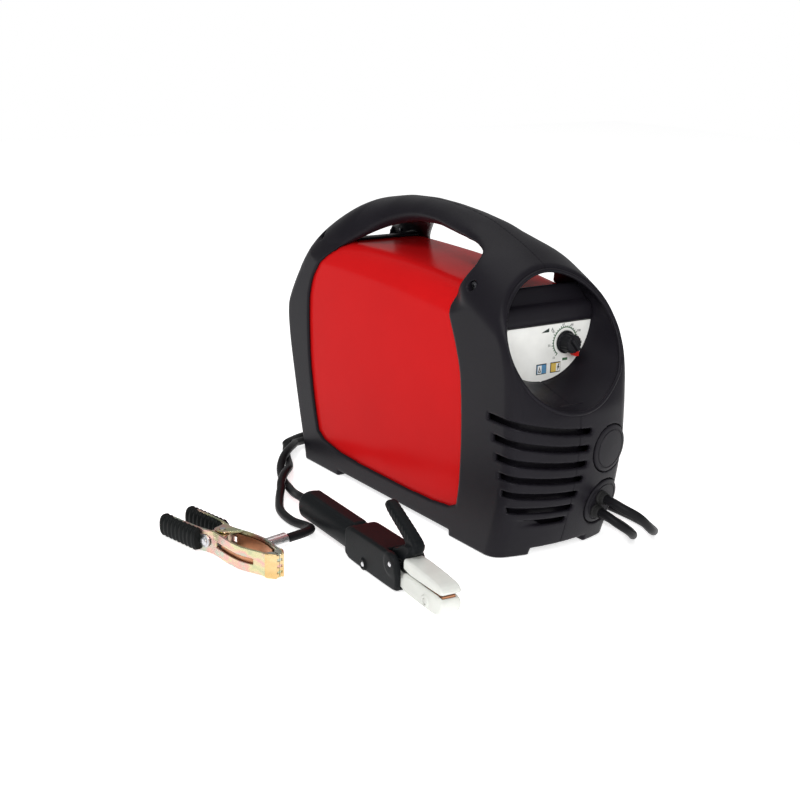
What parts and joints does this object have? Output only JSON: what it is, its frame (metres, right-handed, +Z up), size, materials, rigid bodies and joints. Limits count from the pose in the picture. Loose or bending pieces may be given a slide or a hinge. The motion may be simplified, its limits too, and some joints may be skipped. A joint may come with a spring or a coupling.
{
  "type": "stick welder",
  "caption": "Portable inverter stick welder: black moulded carry frame with arched handle round a red cover, eye-shaped control recess, two leads with electrode holder and earth clamp.",
  "frame": {"origin": "middle of the machine's footprint on the floor", "axes": "-Y is the front with the control recess, +Y the rear, +X the machine's side with the lead outlet, +Z up"},
  "size_m": [0.4522, 0.4322, 0.2618],
  "materials": {
    "black_moulding": "fine moulded grain, satin",
    "insert_moulding": "fine moulded grain",
    "red_paint": "glossy paint on sheet steel",
    "dark_screw": "blackened",
    "zinc_sheet": "zinc plated sheet",
    "white_plate": "printed panel foil",
    "lamp_blue": "clear lens",
    "lamp_amber": "clear lens",
    "knob_black": "satin",
    "pot_metal": "plain",
    "bush_rubber": "soft",
    "black_sheet": "matt powder coat",
    "switch_black": "gloss",
    "rocker_red": "gloss",
    "nylon_black": "moulded",
    "fan_black": "moulded",
    "board_green": "lacquered board",
    "heatsink_alloy": "extruded",
    "ferrite": "dark ceramic",
    "copper_winding": "lacquered wire",
    "capacitor_sleeve": "shrunk sleeve",
    "lead_rubber": "matt rubber jacket",
    "holder_black": "fine grain",
    "pin_steel": "plain",
    "spring_steel": "plain",
    "jaw_white": "insulating moulding",
    "jaw_copper": "milled copper alloy",
    "yellow_zinc": "yellow passivated zinc",
    "grip_rubber": "ridged sleeve",
    "lug_tin": "tinned copper"
  },
  "bodies": {
    "welder": {"frame_half_left": "black_moulding", "frame_half_right": "black_moulding", "screw_rear_left": "dark_screw", "screw_rear_right": "dark_screw", "screw_front_left": "dark_screw", "screw_front_right": "dark_screw", "cover": "red_paint", "base_pan": "zinc_sheet", "fascia": "black_moulding", "control_plate": "white_plate", "lamp_power": "lamp_blue", "lamp_overload": "lamp_amber", "potentiometer": "pot_metal", "front_blank": "insert_moulding", "lead_outlet": "insert_moulding", "holder_lead_bush": "bush_rubber", "clamp_lead_bush": "bush_rubber", "rear_panel": "black_sheet", "mains_switch": "switch_black", "mains_gland": "nylon_black", "gland_nut": "nylon_black", "fan_frame": "fan_black", "power_board": "board_green", "heatsink": "heatsink_alloy", "transformer": "ferrite", "output_choke": "copper_winding", "capacitor_left": "capacitor_sleeve", "capacitor_right": "capacitor_sleeve", "control_board": "board_green", "holder_lead_front": "lead_rubber", "clamp_lead_front": "lead_rubber", "holder_lead_rear": "lead_rubber", "clamp_lead_rear": "lead_rubber", "holder_lead_coil": "lead_rubber", "clamp_lead_coil": "lead_rubber", "holder_handle": "holder_black", "holder_body": "holder_black", "holder_pin": "pin_steel", "holder_jaw_lower": "jaw_white", "contact_lower": "jaw_copper", "holder_spring": "spring_steel", "clamp_arm_fixed": "yellow_zinc", "clamp_grip_fixed": "grip_rubber", "clamp_pin": "pin_steel", "clamp_spring": "spring_steel", "clamp_lug": "lug_tin"},
    "knob": {"current_knob": "knob_black"},
    "rocker": {"mains_rocker": "rocker_red"},
    "fan_rotor": {"fan_rotor": "fan_black"},
    "holder_lever": {"holder_jaw_upper": "jaw_white", "contact_upper": "jaw_copper", "holder_lever": "holder_black"},
    "clamp_arm": {"clamp_arm_moving": "yellow_zinc", "clamp_grip_moving": "grip_rubber"}
  },
  "joints": [
    {"name": "knob_turn", "type": "hinge", "parent": "welder", "child": "knob", "pos_m": [0.0234, -0.1252, 0.1636], "axis": [0, -1, 0], "range_deg": [-10, 290]},
    {"name": "rocker_tilt", "type": "hinge", "parent": "welder", "child": "rocker", "pos_m": [-0.0205, 0.14767, 0.0441], "axis": [-1, 0, 0], "range_deg": [-22, 0]},
    {"name": "fan_spin", "type": "hinge", "parent": "welder", "child": "fan_rotor", "pos_m": [0, 0.14962, 0.09993], "axis": [0, 0.9694, -0.2453], "continuous": true},
    {"name": "lever_squeeze", "type": "hinge", "parent": "welder", "child": "holder_lever", "pos_m": [-0.14886, -0.15519, 0.021], "axis": [-0.998, 0.0628, 0], "range_deg": [0, 15], "stiffness_Nm_per_rad": 0.6, "springref_deg": -17.19, "deforming": ["holder_spring"]},
    {"name": "clamp_open", "type": "hinge", "parent": "welder", "child": "clamp_arm", "pos_m": [-0.23506, -0.02484, 0.0104], "axis": [0, 0, -1], "range_deg": [0, 13], "stiffness_Nm_per_rad": 0.8, "springref_deg": -17.19, "deforming": ["clamp_spring"]}
  ]
}
